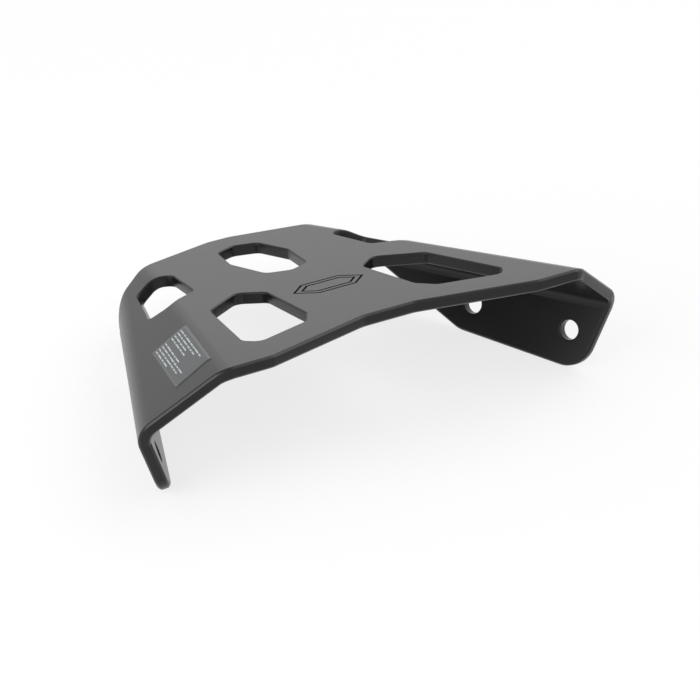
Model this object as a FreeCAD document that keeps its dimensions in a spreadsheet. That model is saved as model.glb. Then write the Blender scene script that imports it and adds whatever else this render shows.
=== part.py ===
import FreeCAD, Part
import Sketcher
import math
import os

# Luggage rack plate for the tail of a motorcycle.
# One laser-cut sheet: a level deck, a wing folded down on each side, and a
# drilled flange folded down from each wing. The rack is symmetrical about x = 0.
# Frame: z up, x across the machine, -y towards the wide end. The origin is on the
# deck's top face and centre line, halfway along the rack.
# The outline values below count y from a line through the deck, and the body's
# placement then moves the finished sheet to the origin.

V = FreeCAD.Vector
doc = FreeCAD.newDocument("LuggageRack")

# Driving sizes in millimetres and degrees: name, value.
# "Across" is the distance from a fold line and "along" the distance on it,
# both measured in the unfolded sheet; "down" is measured on the flange.
driving = {
    "sheet": 5.0,
    # deck outline
    "wideEndMiddle": -72.5,
    "wideEndMiddleHalf": 12.0,
    "wideEndCorner": 62.0,
    "wideEnd": -88.0,
    "narrowEnd": 67.5,
    "narrowEndHalf": 5.5,
    "shoulderX": 40.0,
    "shoulderY": 58.0,
    "outlineRadius": 18.0,
    # fold between deck and wing
    "wingFoldX": 58.2,
    "wingFoldTurn": 16.5,
    "wingFoldDown": 33.4,
    "wingFoldRadius": 16.0,
    # wing
    "wingFoot": 90.0,
    "wingHead": 50.0,
    "wingWideWidth": 43.8,
    "wingNarrowWidth": 20.4,
    "wingWideEdge": -90.6,
    "wingWideEdgeTurn": 12.3,
    "wingNarrowEdge": 62.0,
    "wingNarrowEdgeTurn": 34.2,
    # fold between wing and flange
    "flangeFoldDown": 70.7,
    "flangeFoldRadius": 11.0,
    # flange, with its along distances from the wing's foot
    "flangeWideTop": 8.8,
    "flangeWideAlong": 20.1,
    "flangeWideDown": 35.2,
    "flangeNarrowAlong": 81.4,
    "flangeNarrowDown": 28.4,
    "flangeNarrowTop": 138.9,
    "flangeCornerRadius": 13.0,
    "boltHole": 8.5,
    "wideBoltAlong": 27.8,
    "wideBoltDown": 18.6,
    "narrowBoltAlong": 75.5,
    "narrowBoltDown": 16.3,
    # eight-sided cut-out on the centre line
    "middleTop": 52.9,
    "middleUpperX": 9.7,
    "middleUpperY": 48.9,
    "middleSideX": 13.9,
    "middleSideY": 29.7,
    "middleLowerX": 9.8,
    "middleLowerY": 7.5,
    "middleBottom": 3.5,
    # seven-sided cut-out in each half of the deck
    "sevenOneX": 51.6,
    "sevenOneY": -19.6,
    "sevenTwoX": 33.0,
    "sevenTwoY": -7.4,
    "sevenThreeX": 23.3,
    "sevenThreeY": -15.6,
    "sevenFourX": 25.8,
    "sevenFourY": -52.0,
    "sevenFiveX": 31.2,
    "sevenFiveY": -60.2,
    "sevenSixX": 56.6,
    "sevenSixY": -68.3,
    "sevenSevenX": 61.1,
    "sevenSevenY": -62.6,
    # six-sided cut-out that crosses the wing fold
    "sixDeckFarAcross": -8.0,
    "sixDeckFarAlong": 39.4,
    "sixFoldFarAcross": 0.2,
    "sixFoldFarAlong": 41.0,
    "sixWingFarAcross": 10.3,
    "sixWingFarAlong": 36.4,
    "sixWingNearAcross": 12.0,
    "sixWingNearAlong": 5.2,
    "sixFoldNearAcross": 2.3,
    "sixFoldNearAlong": 1.4,
    "sixDeckNearAcross": -11.7,
    "sixDeckNearAlong": 13.3,
    "cutoutRadius": 4.2,
}

sheetCells = doc.addObject("Spreadsheet::Sheet", "Sizes")
for row, (name, value) in enumerate(driving.items(), start=1):
    sheetCells.set("A%d" % row, name)
    sheetCells.set("B%d" % row, "%.4f" % value)
    sheetCells.setAlias("B%d" % row, name)
doc.recompute()


def size(name):
    return float(sheetCells.get(name))


sheet = size("sheet")
wingFoldDown = size("wingFoldDown")
flangeFoldDown = size("flangeFoldDown")
wingRadius = size("wingFoldRadius")
flangeRadius = size("flangeFoldRadius")


def turned(axis, degrees, base=V(0, 0, 0)):
    return FreeCAD.Placement(base, FreeCAD.Rotation(axis, degrees))


# Frames of the flat faces. In each one x runs across the fold, y along it, and
# z out of the outer face; the fold's two faces meet at x = 0 if it were sharp.
foldLean = math.degrees(math.atan((size("wingWideWidth") - size("wingNarrowWidth"))
                                  / (size("wingFoot") + size("wingHead"))))
deckFrame = turned(V(0, 0, 1), size("wingFoldTurn"), V(size("wingFoldX"), 0, 0))
wingFrame = deckFrame.multiply(turned(V(0, 1, 0), wingFoldDown))
wingEndFrame = wingFrame.multiply(
    turned(V(0, 0, 1), foldLean, V(size("wingWideWidth"), -size("wingFoot"), 0)))
flangeFrame = wingEndFrame.multiply(turned(V(0, 1, 0), flangeFoldDown))

# How far each bend reaches on either side of the sharp fold line.
wingReach = wingRadius * math.tan(math.radians(wingFoldDown / 2))
flangeReach = flangeRadius * math.tan(math.radians(flangeFoldDown / 2))


def crossing(p, q, r, s):
    """Point where the line p-q meets the line r-s, in the plane."""
    ax, ay = q[0] - p[0], q[1] - p[1]
    bx, by = s[0] - r[0], s[1] - r[1]
    share = ((r[0] - p[0]) * by - (r[1] - p[1]) * bx) / (ax * by - ay * bx)
    return (p[0] + share * ax, p[1] + share * ay)


def into(frame, point, source=FreeCAD.Placement()):
    """A flat point of one frame, in the flat coordinates of another."""
    moved = frame.inverse().multVec(source.multVec(V(point[0], point[1], 0)))
    return (moved.x, moved.y)


def slope(p, q):
    """Along distance gained for each millimetre across."""
    return (q[1] - p[1]) / (q[0] - p[0])


# Edge lines in the frame of the wing fold, as two points each.
wideStart = into(deckFrame, (0, size("wideEnd")))
wideStop = into(deckFrame, (size("wingFoldX"), size("wideEnd")))
narrowStart = into(deckFrame, (size("narrowEndHalf"), size("narrowEnd")))
narrowStop = into(deckFrame, (size("shoulderX"), size("shoulderY")))
wingWideLine = ((0, size("wingWideEdge")),
                (1, size("wingWideEdge") + math.tan(math.radians(size("wingWideEdgeTurn")))))
wingNarrowLine = ((0, size("wingNarrowEdge")),
                  (1, size("wingNarrowEdge") - math.tan(math.radians(size("wingNarrowEdgeTurn")))))

# Corners on the two lines where each bend begins and ends.
deckSide = ((-wingReach, 0), (-wingReach, 1))
wingSide = ((wingReach, 0), (wingReach, 1))
deckWide = crossing(wideStart, wideStop, *deckSide)
deckNarrow = crossing(narrowStart, narrowStop, *deckSide)
wingWide = crossing(*wingWideLine, *wingSide)
wingNarrow = crossing(*wingNarrowLine, *wingSide)

wingEndSide = tuple(into(wingFrame, p, wingEndFrame)
                    for p in ((-flangeReach, 0), (-flangeReach, 1)))
wingWideEnd = crossing(*wingWideLine, *wingEndSide)
wingNarrowEnd = crossing(*wingNarrowLine, *wingEndSide)

flangeWideTop = (0, size("flangeWideTop"))
flangeWide = (size("flangeWideDown"), size("flangeWideAlong"))
flangeNarrow = (size("flangeNarrowDown"), size("flangeNarrowAlong"))
flangeNarrowTop = (0, size("flangeNarrowTop"))
flangeSide = ((flangeReach, 0), (flangeReach, 1))
flangeWideStart = crossing(flangeWideTop, flangeWide, *flangeSide)
flangeNarrowStart = crossing(flangeNarrowTop, flangeNarrow, *flangeSide)

# The six-sided cut-out, in the unfolded sheet round the wing fold.
six = {key: (size("six%sAcross" % key), size("six%sAlong" % key))
       for key in ("DeckFar", "FoldFar", "WingFar", "WingNear", "FoldNear", "DeckNear")}
sixDeckFarEnd = crossing(six["DeckFar"], six["FoldFar"], *deckSide)
sixDeckNearEnd = crossing(six["DeckNear"], six["FoldNear"], *deckSide)
sixWingFarEnd = crossing(six["FoldFar"], six["WingFar"], *wingSide)
sixWingNearEnd = crossing(six["FoldNear"], six["WingNear"], *wingSide)


# Document helpers

body = doc.addObject("PartDesign::Body", "rack_plate")
body.Label = "rack_plate"


def originPlane(role):
    for feature in body.Origin.OriginFeatures:
        if feature.Role == role:
            return feature


def newSketch(name, frame):
    sketch = body.newObject("Sketcher::SketchObject", name)
    sketch.AttachmentSupport = [(originPlane("XY_Plane"), "")]
    sketch.MapMode = "FlatFace"
    sketch.AttachmentOffset = frame
    return sketch


def pinPoint(sketch, line, point, names):
    """Hold a corner where its values say; a named value stays bound to its cell."""
    for kind, axis, value, name in (("DistanceX", -2, point[0], names[0]),
                                    ("DistanceY", -1, point[1], names[1])):
        if abs(value) < 1e-9:
            sketch.addConstraint(Sketcher.Constraint("PointOnObject", line, 1, axis))
            continue
        index = sketch.addConstraint(Sketcher.Constraint(kind, -1, 1, line, 1, value))
        if name:
            sketch.setExpression("Constraints[%d]" % index, "Sizes." + name)


def drawPolygon(sketch, corners, names=None):
    """Closed outline through the corners, with every corner pinned."""
    count = len(corners)
    names = names or [(None, None)] * count
    for i in range(count):
        a, b = corners[i], corners[(i + 1) % count]
        sketch.addGeometry(Part.LineSegment(V(a[0], a[1], 0), V(b[0], b[1], 0)), False)
    for i in range(count):
        sketch.addConstraint(
            Sketcher.Constraint("Coincident", i, 2, (i + 1) % count, 1))
    for i in range(count):
        pinPoint(sketch, i, corners[i], names[i])


def pad(name, sketch):
    feature = body.newObject("PartDesign::Pad", name)
    feature.Profile = sketch
    feature.setExpression("Length", "Sizes.sheet")
    feature.Reversed = True
    doc.recompute()
    return feature


def pocket(name, sketch):
    before = body.Shape.Volume
    feature = body.newObject("PartDesign::Pocket", name)
    feature.Profile = sketch
    feature.setExpression("Length", "Sizes.sheet")
    doc.recompute()
    if body.Shape.Volume > before - 1:
        raise RuntimeError(name + " cuts nothing")
    return feature


def roundCorners(name, frame, points, radius):
    """Round the sheet's corners that stand on the given points of a frame."""
    found = []
    for index, edge in enumerate(body.Shape.Edges, start=1):
        if len(edge.Vertexes) != 2 or edge.Curve.TypeId != "Part::GeomLine":
            continue
        ends = [frame.inverse().multVec(v.Point) for v in edge.Vertexes]
        if math.hypot(ends[0].x - ends[1].x, ends[0].y - ends[1].y) > 0.01:
            continue
        if any(math.hypot(ends[0].x - p[0], ends[0].y - p[1]) < 0.05 for p in points):
            found.append("Edge%d" % index)
    if len(found) != len(points):
        raise RuntimeError("%s: %d corners found of %d" % (name, len(found), len(points)))
    solid = body.Tip
    feature = body.newObject("PartDesign::Fillet", name)
    feature.Base = (solid, found)
    feature.setExpression("Radius", "Sizes." + radius)
    doc.recompute()
    return feature


def bend(name, frame, radius, reach, degrees, low, high, steps):
    """Curved strip round a fold, lofted through radial sections.

    low and high say where the strip's two end edges run: each is the entry
    point, its slope, the exit point and its slope, in the unfolded sheet.
    """
    arc = radius * math.radians(degrees)

    def along(end, share):
        (a, slopeIn, b, slopeOut) = end
        start, rise = a[1], b[1] - a[1]
        s2, s3 = share ** 2, share ** 3
        return (start + rise * (3 * s2 - 2 * s3)
                + arc * slopeIn * (share - 2 * s2 + s3)
                + arc * slopeOut * (s3 - s2))

    radial = FreeCAD.Placement(V(0, 0, 0), FreeCAD.Rotation(V(0, 1, 0), V(0, 0, 1), V(1, 0, 0), "ZXY"))
    sections = []
    for step in range(steps + 1):
        share = step / steps
        spot = turned(V(0, 1, 0), degrees * share, V(-reach, 0, -radius))
        spot = frame.multiply(spot).multiply(FreeCAD.Placement(V(0, 0, radius), FreeCAD.Rotation()))
        sketch = newSketch("%s_%d" % (name, step), spot.multiply(radial))
        a, b = along(low, share), along(high, share)
        drawPolygon(sketch, [(a, 0), (b, 0), (b, -sheet), (a, -sheet)])
        sections.append(sketch)
    doc.recompute()
    loft = body.newObject("PartDesign::AdditiveLoft", name)
    loft.Profile = sections[0]
    loft.Sections = sections[1:]
    loft.Ruled = False
    doc.recompute()
    return loft


# Deck: half of the level plate as far as the bend

deckOutline = [(0, "wideEndMiddle"), ("wideEndMiddleHalf", "wideEndMiddle"),
               ("wideEndCorner", "wideEnd"), None, None,
               ("narrowEndHalf", "narrowEnd"), (0, "narrowEnd")]
flatOfDeck = FreeCAD.Placement()
fixed = {3: into(flatOfDeck, deckWide, deckFrame), 4: into(flatOfDeck, deckNarrow, deckFrame)}


def named(outline, fixed=None):
    """Corner values and cell names of an outline given by names."""
    corners, names = [], []
    for index, corner in enumerate(outline):
        if corner is None:
            corners.append(fixed[index])
            names.append((None, None))
        else:
            corners.append(tuple(size(c) if isinstance(c, str) else c for c in corner))
            names.append(tuple(c if isinstance(c, str) else None for c in corner))
    return corners, names


deckSketch = newSketch("deckSketch", flatOfDeck)
corners, names = named(deckOutline, fixed)
drawPolygon(deckSketch, corners, names)
pad("deck", deckSketch)
roundCorners("deckCorners", flatOfDeck, [corners[1], corners[2], corners[5]], "outlineRadius")

sevenOutline = [("seven%sX" % n, "seven%sY" % n)
                for n in ("One", "Two", "Three", "Four", "Five", "Six", "Seven")]
sevenSketch = newSketch("sevenSketch", flatOfDeck)
corners, names = named(sevenOutline)
drawPolygon(sevenSketch, corners, names)
pocket("sevenCutout", sevenSketch)
roundCorners("sevenCorners", flatOfDeck, corners, "cutoutRadius")

sixDeckSketch = newSketch("sixDeckSketch", deckFrame)
drawPolygon(sixDeckSketch,
            [six["DeckFar"], six["DeckNear"], sixDeckNearEnd, sixDeckFarEnd],
            [("sixDeckFarAcross", "sixDeckFarAlong"), ("sixDeckNearAcross", "sixDeckNearAlong"),
             (None, None), (None, None)])
pocket("sixDeckCutout", sixDeckSketch)
roundCorners("sixDeckCorners", deckFrame, [six["DeckFar"], six["DeckNear"]], "cutoutRadius")

# Bend between deck and wing, in two strips with the cut-out between them

bend("wingBendWide", deckFrame, wingRadius, wingReach, wingFoldDown,
     (deckWide, slope(wideStart, wideStop), wingWide, slope(*wingWideLine)),
     (sixDeckNearEnd, slope(six["DeckNear"], six["FoldNear"]),
      sixWingNearEnd, slope(six["FoldNear"], six["WingNear"])), 6)
bend("wingBendNarrow", deckFrame, wingRadius, wingReach, wingFoldDown,
     (sixDeckFarEnd, slope(six["DeckFar"], six["FoldFar"]),
      sixWingFarEnd, slope(six["FoldFar"], six["WingFar"])),
     (deckNarrow, slope(narrowStart, narrowStop), wingNarrow, slope(*wingNarrowLine)), 6)

# Wing

wingSketch = newSketch("wingSketch", wingFrame)
drawPolygon(wingSketch, [wingWide, wingWideEnd, wingNarrowEnd, wingNarrow])
pad("wing", wingSketch)
sixWingSketch = newSketch("sixWingSketch", wingFrame)
drawPolygon(sixWingSketch,
            [six["WingNear"], six["WingFar"], sixWingFarEnd, sixWingNearEnd],
            [("sixWingNearAcross", "sixWingNearAlong"), ("sixWingFarAcross", "sixWingFarAlong"),
             (None, None), (None, None)])
pocket("sixWingCutout", sixWingSketch)
roundCorners("sixWingCorners", wingFrame, [six["WingFar"], six["WingNear"]], "cutoutRadius")

# Bend between wing and flange


def slopeIn(frame, line, source):
    return slope(*[into(frame, p, source) for p in line])


bend("flangeBend", wingEndFrame, flangeRadius, flangeReach, flangeFoldDown,
     (into(wingEndFrame, wingWideEnd, wingFrame), slopeIn(wingEndFrame, wingWideLine, wingFrame),
      flangeWideStart, slope(flangeWideTop, flangeWide)),
     (into(wingEndFrame, wingNarrowEnd, wingFrame),
      slopeIn(wingEndFrame, wingNarrowLine, wingFrame),
      flangeNarrowStart, slope(flangeNarrowTop, flangeNarrow)), 8)

# Flange with its two bolt holes

flangeSketch = newSketch("flangeSketch", flangeFrame)
drawPolygon(flangeSketch,
            [flangeWideStart, flangeWide, flangeNarrow, flangeNarrowStart],
            [(None, None), ("flangeWideDown", "flangeWideAlong"),
             ("flangeNarrowDown", "flangeNarrowAlong"), (None, None)])
pad("flange", flangeSketch)
roundCorners("flangeCorners", flangeFrame, [flangeWide, flangeNarrow], "flangeCornerRadius")

holeSketch = newSketch("holeSketch", flangeFrame)
for index, end in enumerate(("wide", "narrow")):
    down, along = end + "BoltDown", end + "BoltAlong"
    centre = V(size(down), size(along), 0)
    holeSketch.addGeometry(Part.Circle(centre, V(0, 0, 1), size("boltHole") / 2), False)
    for kind, value, name in (("DistanceX", size(down), down), ("DistanceY", size(along), along)):
        spot = holeSketch.addConstraint(Sketcher.Constraint(kind, -1, 1, index, 3, value))
        holeSketch.setExpression("Constraints[%d]" % spot, "Sizes." + name)
    spot = holeSketch.addConstraint(Sketcher.Constraint("Diameter", index, size("boltHole")))
    holeSketch.setExpression("Constraints[%d]" % spot, "Sizes.boltHole")
pocket("boltHoles", holeSketch)

# The other half, then the cut-out on the centre line

mirrored = body.newObject("PartDesign::Mirrored", "otherHalf")
if "TransformMode" in mirrored.PropertiesList:
    mirrored.TransformMode = "Whole shape"
mirrored.MirrorPlane = (originPlane("YZ_Plane"), [""])
body.Tip = mirrored
doc.recompute()

middleOutline = [(0, "middleTop"), ("middleUpperX", "middleUpperY"), ("middleSideX", "middleSideY"),
                 ("middleLowerX", "middleLowerY"), (0, "middleBottom")]
rightCorners, rightNames = named(middleOutline)
leftCorners = [(-x, y) for x, y in rightCorners[3:0:-1]]
middleSketch = newSketch("middleSketch", flatOfDeck)
corners = rightCorners + leftCorners
drawPolygon(middleSketch, corners, rightNames + [(None, b) for a, b in rightNames[3:0:-1]])
pocket("middleCutout", middleSketch)
roundCorners("middleCorners", flatOfDeck, corners, "cutoutRadius")

# Place the origin halfway along the rack
body.setExpression("Placement.Base.y", "-(Sizes.wideEnd + Sizes.narrowEnd) / 2")
doc.recompute()

for obj in doc.Objects:
    if "Invalid" in obj.State or "Error" in obj.State:
        raise RuntimeError("%s failed: %s" % (obj.Name, obj.State))
if body.Shape.isNull() or not body.Shape.isValid() or len(body.Shape.Solids) != 1:
    raise RuntimeError("rack_plate isn't one valid solid")

os.makedirs("parts", exist_ok=True)
body.Shape.exportStep("parts/rack_plate.step")
box = body.Shape.BoundBox
print("size %.1f x %.1f x %.1f mm, volume %.0f mm3" % (
    box.XLength, box.YLength, box.ZLength, body.Shape.Volume))
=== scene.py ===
import itertools
import math

import bmesh
import bpy
from mathutils import Matrix, Vector
from mathutils.bvhtree import BVHTree


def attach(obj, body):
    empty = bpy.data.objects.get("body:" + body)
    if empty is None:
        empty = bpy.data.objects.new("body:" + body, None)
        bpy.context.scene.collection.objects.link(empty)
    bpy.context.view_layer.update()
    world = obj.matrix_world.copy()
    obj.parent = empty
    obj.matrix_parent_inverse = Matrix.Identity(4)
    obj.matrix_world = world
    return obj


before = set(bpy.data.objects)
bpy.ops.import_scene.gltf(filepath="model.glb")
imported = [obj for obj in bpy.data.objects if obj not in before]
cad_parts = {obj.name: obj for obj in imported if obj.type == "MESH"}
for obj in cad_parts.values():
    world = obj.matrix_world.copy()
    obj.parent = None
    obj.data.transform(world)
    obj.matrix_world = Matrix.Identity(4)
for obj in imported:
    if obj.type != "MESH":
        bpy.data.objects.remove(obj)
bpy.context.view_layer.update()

# A luggage rack for the tail of a motorcycle: one folded aluminium sheet with a
# satin black powder coat, standing on its two flanges on a white table.

mm = 0.001


def linear(hexColour):
    # sRGB hex to the linear values that the shaders take
    channels = [int(hexColour[i:i + 2], 16) / 255 for i in (1, 3, 5)]
    return [c / 12.92 if c <= 0.04045 else ((c + 0.055) / 1.055) ** 2.4 for c in channels] + [1.0]


def newMaterial(name):
    material = bpy.data.materials.new(name)
    material.use_nodes = True
    material.node_tree.nodes.clear()
    return material


def addNode(tree, kind, settings=None, links=None):
    # A setting goes to the node, or else to the input of that name or number. A link feeds
    # another node's output to an input.
    node = tree.nodes.new(kind)
    for key, value in (settings or {}).items():
        if isinstance(key, str) and hasattr(node, key):
            setattr(node, key, value)
        else:
            node.inputs[key].default_value = value
    for key, source in (links or {}).items():
        tree.links.new(source, node.inputs[key])
    return node


def seenOrMirrored(tree):
    # 1 for a ray from the camera, a reflection or a clear piece, and 0 for the light itself
    ray = addNode(tree, "ShaderNodeLightPath").outputs
    seen = addNode(tree, "ShaderNodeMath", {"operation": "MAXIMUM"},
                   {0: ray["Is Camera Ray"], 1: ray["Is Glossy Ray"]})
    return addNode(tree, "ShaderNodeMath", {"operation": "MAXIMUM"},
                   {0: seen.outputs[0], 1: ray["Is Transmission Ray"]}).outputs[0]


def addPiece(name, build, material):
    mesh = bpy.data.meshes.new(name)
    build.to_mesh(mesh)
    build.free()
    mesh.materials.append(material)
    piece = bpy.data.objects.new(name, mesh)
    bpy.context.collection.objects.link(piece)
    return piece


# The powder coat

powderCoat = {
    "dark": "#131313",
    "light": "#171717",         # where the film is a little thinner
    "ior": 1.36,                # polyester powder, a little under its usual 1.5
    "roughness": 0.28,
    "peelSize": 1.6 * mm,       # width of the orange-peel ripples
    "peelHeight": 0.004 * mm,
    "grainSize": 0.30 * mm,     # left by the powder's grains as they melt
    "grainHeight": 0.003 * mm,
    "cloudSize": 20 * mm,       # of the slow change from dark to light
}


def makePowderCoat():
    # Baked polyester powder on aluminium: an even satin film, faintly rippled and
    # grained, dark when looked at squarely and pale where light grazes it
    coat = powderCoat
    material = newMaterial("satinBlackPowderCoat")
    tree = material.node_tree
    place = addNode(tree, "ShaderNodeTexCoord").outputs["Object"]
    peel = addNode(tree, "ShaderNodeTexNoise",
                   {"Scale": 1 / coat["peelSize"], "Detail": 1.0, "Roughness": 0.4}, {"Vector": place})
    grain = addNode(tree, "ShaderNodeTexNoise",
                    {"Scale": 1 / coat["grainSize"], "Detail": 2.0, "Roughness": 0.6}, {"Vector": place})
    cloud = addNode(tree, "ShaderNodeTexNoise",
                    {"Scale": 1 / coat["cloudSize"], "Detail": 2.0, "Roughness": 0.5}, {"Vector": place})
    tint = addNode(tree, "ShaderNodeMix",
                   {"data_type": "RGBA", 6: linear(coat["dark"]), 7: linear(coat["light"])},
                   {0: cloud.outputs["Fac"]})
    ripples = addNode(tree, "ShaderNodeBump", {"Distance": coat["peelHeight"]},
                      {"Height": peel.outputs["Fac"]})
    grains = addNode(tree, "ShaderNodeBump", {"Distance": coat["grainHeight"]},
                     {"Height": grain.outputs["Fac"], "Normal": ripples.outputs["Normal"]})
    surface = addNode(tree, "ShaderNodeBsdfPrincipled",
                      {"IOR": coat["ior"], "Roughness": coat["roughness"]},
                      {"Base Color": tint.outputs[2], "Normal": grains.outputs["Normal"]})
    addNode(tree, "ShaderNodeOutputMaterial", links={"Surface": surface.outputs["BSDF"]})
    return material


# Edges: the cut edges are broken before coating, and the powder rounds them further.
# The outline, where a hand takes hold, is broken more than the cut-outs and holes.

edges = {
    "holeReach": 0.6 * mm,      # how far the broken edge goes in from the sharp one
    "outlineReach": 1.2 * mm,
    "outlineRound": 400 * mm,   # a longer loop of cut edges than this is the outline
    "steps": 3,                 # strips of faces across each broken edge
    "flatness": 0.30,           # 0.5 is round and 0.25 is a flat bevel
    "squareFrom": 50,           # degrees; sharper folds than this count as cut edges
    "flatWithin": 3.0,          # degrees; facets that differ less are joined first
    "sameWithin": 0.01 * mm,    # corners nearer than this are one corner
}


def makeEdgeShares():
    # Gives each cut edge its share of the outline's reach. The loop of cut edges that it
    # belongs to is measured all round: a long loop is the outline, a short one a hole.
    tree = bpy.data.node_groups.new("edgeShares", "GeometryNodeTree")
    for way in ("INPUT", "OUTPUT"):
        tree.interface.new_socket(name="Geometry", in_out=way, socket_type="NodeSocketGeometry")
    given = addNode(tree, "NodeGroupInput").outputs[0]
    fold = addNode(tree, "GeometryNodeInputMeshEdgeAngle").outputs["Unsigned Angle"]
    isCut = addNode(tree, "FunctionNodeCompare",
                    {"operation": "GREATER_THAN", 1: math.radians(edges["squareFrom"])},
                    {0: fold}).outputs[0]
    loops = addNode(tree, "GeometryNodeSeparateGeometry", {"domain": "EDGE"},
                    {"Geometry": given, "Selection": isCut}).outputs["Selection"]
    ends = addNode(tree, "GeometryNodeInputMeshEdgeVertices").outputs
    length = addNode(tree, "ShaderNodeVectorMath", {"operation": "DISTANCE"},
                     {0: ends["Position 1"], 1: ends["Position 2"]}).outputs["Value"]
    loopNumber = addNode(tree, "GeometryNodeInputMeshIsland").outputs["Island Index"]
    allRound = addNode(tree, "GeometryNodeAccumulateField", {"data_type": "FLOAT", "domain": "EDGE"},
                       {"Value": length, "Group ID": loopNumber}).outputs["Total"]
    nearest = addNode(tree, "GeometryNodeSampleNearest", {"domain": "EDGE"}, {"Geometry": loops})
    itsLoop = addNode(tree, "GeometryNodeSampleIndex", {"data_type": "FLOAT", "domain": "EDGE"},
                      {"Geometry": loops, "Value": allRound, "Index": nearest.outputs[0]}).outputs[0]
    isOutline = addNode(tree, "FunctionNodeCompare",
                        {"operation": "GREATER_THAN", 1: edges["outlineRound"]}, {0: itsLoop})
    share = addNode(tree, "GeometryNodeSwitch",
                    {"input_type": "FLOAT", 1: edges["holeReach"] / edges["outlineReach"], 2: 1.0},
                    {0: isOutline.outputs[0]})
    kept = addNode(tree, "ShaderNodeMath", {"operation": "MULTIPLY"}, {0: share.outputs[0], 1: isCut})
    stored = addNode(tree, "GeometryNodeStoreNamedAttribute",
                     {"data_type": "FLOAT", "domain": "EDGE", "Name": "bevel_weight_edge"},
                     {"Geometry": given, "Value": kept.outputs[0]})
    addNode(tree, "NodeGroupOutput", links={0: stored.outputs[0]})
    return tree


def roundEdges(plate):
    weld = plate.modifiers.new("weld", "WELD")
    weld.merge_threshold = edges["sameWithin"]
    flat = plate.modifiers.new("joinFlats", "DECIMATE")
    flat.decimate_type = "DISSOLVE"
    flat.angle_limit = math.radians(edges["flatWithin"])
    shares = plate.modifiers.new("edgeShares", "NODES")
    shares.node_group = makeEdgeShares()
    bevel = plate.modifiers.new("brokenEdges", "BEVEL")
    bevel.limit_method = "WEIGHT"
    bevel.width = edges["outlineReach"]
    bevel.segments = edges["steps"]
    bevel.profile = edges["flatness"]
    bevel.loop_slide = False
    bevel.use_clamp_overlap = False


# Engraving: a plain six-sided line and a smaller one inside it, milled into the deck

engraving = {
    "centre": (0.0, -16.0 * mm),
    "length": 34.0 * mm,
    "width": 15.0 * mm,
    "point": 8.0 * mm,          # how far each pointed end reaches
    "gap": 2.6 * mm,            # between the two lines
    "line": 1.0 * mm,
    "depth": 0.8 * mm,
    "cutterTop": 1.0 * mm,      # how far the cutter stands out of the deck
}


def hexagon(inset):
    # A pointed oblong, drawn in from the engraving's outer line by the same inset all round
    slant = math.atan2(engraving["width"] / 2, engraving["point"])
    reach = engraving["length"] / 2 - inset / math.sin(slant)
    side = engraving["width"] / 2 - inset
    shoulder = reach - side / math.tan(slant)
    x, y = engraving["centre"]
    return [(x + reach, y), (x + shoulder, y + side), (x - shoulder, y + side),
            (x - reach, y), (x - shoulder, y - side), (x + shoulder, y - side)]


def engrave(plate):
    build = bmesh.new()
    for inset in (0.0, engraving["gap"]):
        rings = []
        for points in (hexagon(inset), hexagon(inset + engraving["line"])):
            for height in (engraving["cutterTop"], -engraving["depth"]):
                rings.append([build.verts.new((x, y, height)) for x, y in points])
        outTop, outLow, inTop, inLow = rings
        for one, other in ((outLow, outTop), (outTop, inTop), (inTop, inLow), (inLow, outLow)):
            for i in range(len(one)):
                j = (i + 1) % len(one)
                build.faces.new((one[i], one[j], other[j], other[i]))
    bmesh.ops.recalc_face_normals(build, faces=build.faces)
    cutter = addPiece("engravingCutter", build, plate.data.materials[0])
    cutter.hide_render = True
    cutter.hide_viewport = True
    groove = plate.modifiers.new("engraving", "BOOLEAN")
    groove.operation = "DIFFERENCE"
    groove.solver = "EXACT"
    groove.object = cutter


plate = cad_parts["rack_plate"]
plate.data.materials.clear()
plate.data.materials.append(makePowderCoat())
plate.data.shade_smooth()
roundEdges(plate)
engrave(plate)
even = plate.modifiers.new("evenShading", "WEIGHTED_NORMAL")
even.weight = 100
even.keep_sharp = True
print("powder coat, broken edges and engraving on the plate")

# A clear film stuck on the left wing, with plain bars printed on it. The wing's own flat
# coordinates are "along" its fold and "across", away from the fold.

wing = {
    "foldX": -58.2 * mm,        # a point on the fold line, at the deck's height
    "foldY": 10.25 * mm,
    "foldTurn": 16.5,           # degrees, as in the folded sheet
    "foldDown": 33.4,
    "castFrom": 5 * mm,         # height over the wing from which its surface is looked for
    "cell": 1.5 * mm,           # mesh size of what lies on it
}

film = {
    "along": (-73.6 * mm, -27.4 * mm),
    "across": (0.8 * mm, 18.5 * mm),
    "lift": 0.02 * mm,          # over the coat
    "thickness": 0.06 * mm,
    "colour": "#2f3132",
    "ior": 1.5,
    "roughness": 0.3,
    "waveSize": 6 * mm,         # of its slight waviness
    "waveHeight": 0.01 * mm,
}

bars = {
    "height": 0.62 * mm,
    "pitch": 1.62 * mm,
    "endMargin": 1.8 * mm,      # from the film's far end
    "foldMargin": 2.6 * mm,     # from its upper edge
    "rows": (36, 30, 21, 24, 0, 26, 37, 33, 20),        # length of each row in mm, 0 leaves a gap
    "dashes": (5.5, 3.0, 7.0, 4.0, 2.5, 6.0, 3.5),      # mm, taken in turn along the rows
    "space": 0.8 * mm,
    "lift": 0.02 * mm,          # over the film
    "thickness": 0.02 * mm,
    "colour": "#a9b1b5",
    "ior": 1.45,
    "roughness": 0.5,
}


def wingPoint(along, across, lift):
    # From the left wing's flat coordinates to the rack's frame, with the wing's normal
    turn = math.radians(wing["foldTurn"])
    down = math.radians(wing["foldDown"])
    forward = Vector((math.sin(turn), math.cos(turn), 0))
    outward = Vector((-math.cos(turn) * math.cos(down), math.sin(turn) * math.cos(down), -math.sin(down)))
    normal = forward.cross(outward)
    base = Vector((wing["foldX"], wing["foldY"], 0))
    return base + forward * along + outward * across + normal * lift, normal


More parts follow.
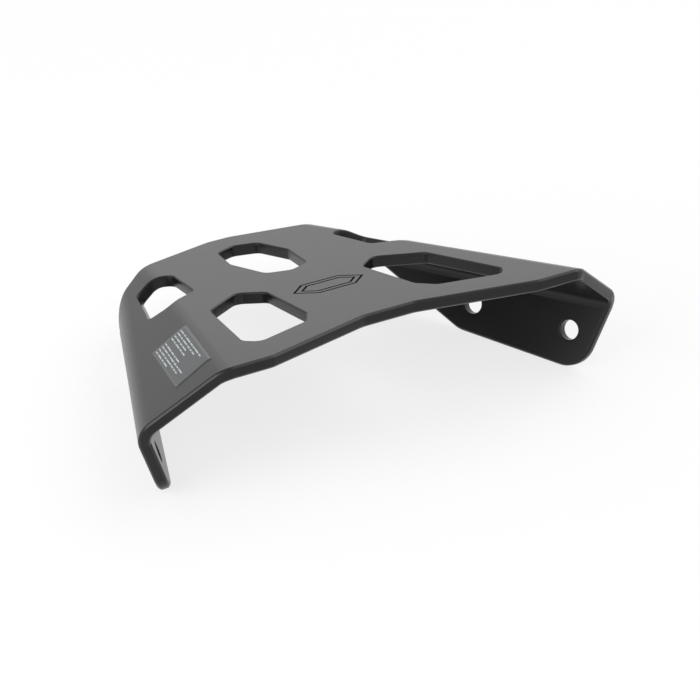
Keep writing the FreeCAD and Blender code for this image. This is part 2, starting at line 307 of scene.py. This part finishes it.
def layOnWing(name, patches, rise, thickness, material):
    # Thin patches that follow the plate's own surface, lifted off it by rise
    surface = BVHTree.FromObject(plate, bpy.context.evaluated_depsgraph_get())
    build = bmesh.new()
    for (alongLow, alongHigh), (acrossLow, acrossHigh) in patches:
        columns = max(1, round((alongHigh - alongLow) / wing["cell"]))
        rows = max(1, round((acrossHigh - acrossLow) / wing["cell"]))
        grid = []
        for column in range(columns + 1):
            along = alongLow + (alongHigh - alongLow) * column / columns
            line = []
            for row in range(rows + 1):
                across = acrossLow + (acrossHigh - acrossLow) * row / rows
                start, normal = wingPoint(along, across, wing["castFrom"])
                hit = surface.ray_cast(start, -normal)[0]
                line.append(build.verts.new(hit + normal * rise))
            grid.append(line)
        for column in range(columns):
            for row in range(rows):
                build.faces.new((grid[column][row], grid[column + 1][row],
                                 grid[column + 1][row + 1], grid[column][row + 1]))
    piece = addPiece(name, build, material)
    piece.data.shade_smooth()
    thick = piece.modifiers.new("thickness", "SOLIDIFY")
    thick.thickness = thickness
    thick.offset = 1.0
    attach(piece, "root")


def makeFilm():
    # Clear polyester film with its glue: a smooth patch, a little paler than the coat
    material = newMaterial("clearPolyesterFilm")
    tree = material.node_tree
    place = addNode(tree, "ShaderNodeTexCoord").outputs["Object"]
    wave = addNode(tree, "ShaderNodeTexNoise", {"Scale": 1 / film["waveSize"], "Detail": 1.0},
                   {"Vector": place})
    bump = addNode(tree, "ShaderNodeBump", {"Distance": film["waveHeight"]},
                   {"Height": wave.outputs["Fac"]})
    surface = addNode(tree, "ShaderNodeBsdfPrincipled",
                      {"Base Color": linear(film["colour"]), "IOR": film["ior"],
                       "Roughness": film["roughness"]},
                      {"Normal": bump.outputs["Normal"]})
    addNode(tree, "ShaderNodeOutputMaterial", links={"Surface": surface.outputs["BSDF"]})
    layOnWing("film_patch", [(film["along"], film["across"])], film["lift"], film["thickness"], material)


def makeBars():
    # Screen-printed white ink, matt and slightly grey where it is thin
    material = newMaterial("greyWhitePrintingInk")
    tree = material.node_tree
    surface = addNode(tree, "ShaderNodeBsdfPrincipled",
                      {"Base Color": linear(bars["colour"]), "IOR": bars["ior"],
                       "Roughness": bars["roughness"]})
    addNode(tree, "ShaderNodeOutputMaterial", links={"Surface": surface.outputs["BSDF"]})
    patches = []
    dashes = itertools.cycle(bars["dashes"])
    farEnd = film["along"][1] - bars["endMargin"]
    for row, length in enumerate(bars["rows"]):
        top = film["across"][0] + bars["foldMargin"] + bars["pitch"] * row
        place = farEnd
        while place > farEnd - length * mm:
            end = max(place - next(dashes) * mm, farEnd - length * mm)
            patches.append(((end, place), (top, top + bars["height"])))
            place = end - bars["space"]
    rise = film["lift"] + film["thickness"] + bars["lift"]
    layOnWing("film_print", patches, rise, bars["thickness"], material)


makeFilm()
makeBars()
print("film and its bars")

# The table that the rack stands on. The flanges' lower edges rise towards the
# narrow end, so the table lies at that slope under the level deck.

table = {
    "slope": 12.28,                               # degrees
    "touch": (0.0, -38.5 * mm, -54.35 * mm),      # a point on it, under the flanges' edges
    "size": 6.0,                                  # metres
    "colour": "#fafafa",
    "glow": 0.76,                                 # how far it is seen as plain white
}


def makeTable():
    # Matt white melamine in an overexposed studio: nearly white, with a soft shadow
    material = newMaterial("mattWhiteTable")
    tree = material.node_tree
    matt = addNode(tree, "ShaderNodeBsdfDiffuse", {"Color": linear(table["colour"])})
    plain = addNode(tree, "ShaderNodeEmission", {"Strength": 1.0})
    share = addNode(tree, "ShaderNodeMath", {"operation": "MULTIPLY", 1: table["glow"]},
                    {0: seenOrMirrored(tree)})
    mixed = addNode(tree, "ShaderNodeMixShader",
                    links={0: share.outputs[0], 1: matt.outputs[0], 2: plain.outputs[0]})
    addNode(tree, "ShaderNodeOutputMaterial", links={"Surface": mixed.outputs[0]})
    build = bmesh.new()
    bmesh.ops.create_grid(build, x_segments=1, y_segments=1, size=table["size"] / 2)
    piece = addPiece("table", build, material)
    piece.location = table["touch"]
    piece.rotation_euler = (math.radians(table["slope"]), 0, 0)


makeTable()
print("table")

# Studio light: a white room, a wide soft box above on the right, a brighter one low on the
# left that lines the left wing's cut edge and reaches under the deck, and a weak one
# behind, which the deck mirrors

studio = {
    "room": 0.57,               # light from the walls; they are seen as plain white
    "softBoxes": (              # where each stands, the length of its side and its power
        ((1.20, -0.20, 1.25), 1.4, 11.0),
        ((-1.45, -0.40, 0.60), 1.2, 20.0),
        ((0.90, 1.50, 0.70), 1.2, 1.1),
    ),
}


def makeStudio():
    world = bpy.data.worlds.new("whiteRoom")
    bpy.context.scene.world = world
    world.use_nodes = True
    tree = world.node_tree
    tree.nodes.clear()
    room = addNode(tree, "ShaderNodeBackground", {"Color": (1, 1, 1, 1), "Strength": studio["room"]})
    white = addNode(tree, "ShaderNodeBackground", {"Color": (1, 1, 1, 1), "Strength": 1.0})
    both = addNode(tree, "ShaderNodeMixShader",
                   links={0: seenOrMirrored(tree), 1: room.outputs[0], 2: white.outputs[0]})
    addNode(tree, "ShaderNodeOutputWorld", links={"Surface": both.outputs[0]})
    for place, side, power in studio["softBoxes"]:
        light = bpy.data.lights.new("softBox", "AREA")
        light.energy = power
        light.size = side
        lamp = bpy.data.objects.new("softBox", light)
        bpy.context.collection.objects.link(lamp)
        lamp.location = place
        lamp.rotation_euler = (-Vector(place)).to_track_quat("-Z", "Y").to_euler()


makeStudio()
print("studio")

# Camera at the photograph's viewpoint

view = {
    "place": (-550.04 * mm, -978.85 * mm, 345.31 * mm),
    "lookAt": (-37.87 * mm, -93.80 * mm, 0.0),
    "roll": -5.539,             # degrees
    "lens": 146.44,             # mm, on a sensor of this width
    "sensor": 36.0,
    "clip": (0.05, 20.0),       # nearest and farthest that it sees, in metres
}


def makeCamera():
    camera = bpy.data.cameras.new("camera")
    camera.lens = view["lens"]
    camera.sensor_width = view["sensor"]
    camera.clip_start, camera.clip_end = view["clip"]
    eye = bpy.data.objects.new("camera", camera)
    bpy.context.collection.objects.link(eye)
    ahead = (Vector(view["lookAt"]) - Vector(view["place"])).normalized()
    right = ahead.cross(Vector((0, 0, 1))).normalized()
    up = right.cross(ahead)
    roll = math.radians(view["roll"])
    tiltedRight = right * math.cos(roll) + up * math.sin(roll)
    tiltedUp = up * math.cos(roll) - right * math.sin(roll)
    eye.matrix_world = Matrix.Translation(view["place"]) @ Matrix(
        (tiltedRight, tiltedUp, -ahead)).transposed().to_4x4()
    bpy.context.scene.camera = eye
    bpy.context.scene.view_settings.view_transform = "Standard"


makeCamera()
print("camera")
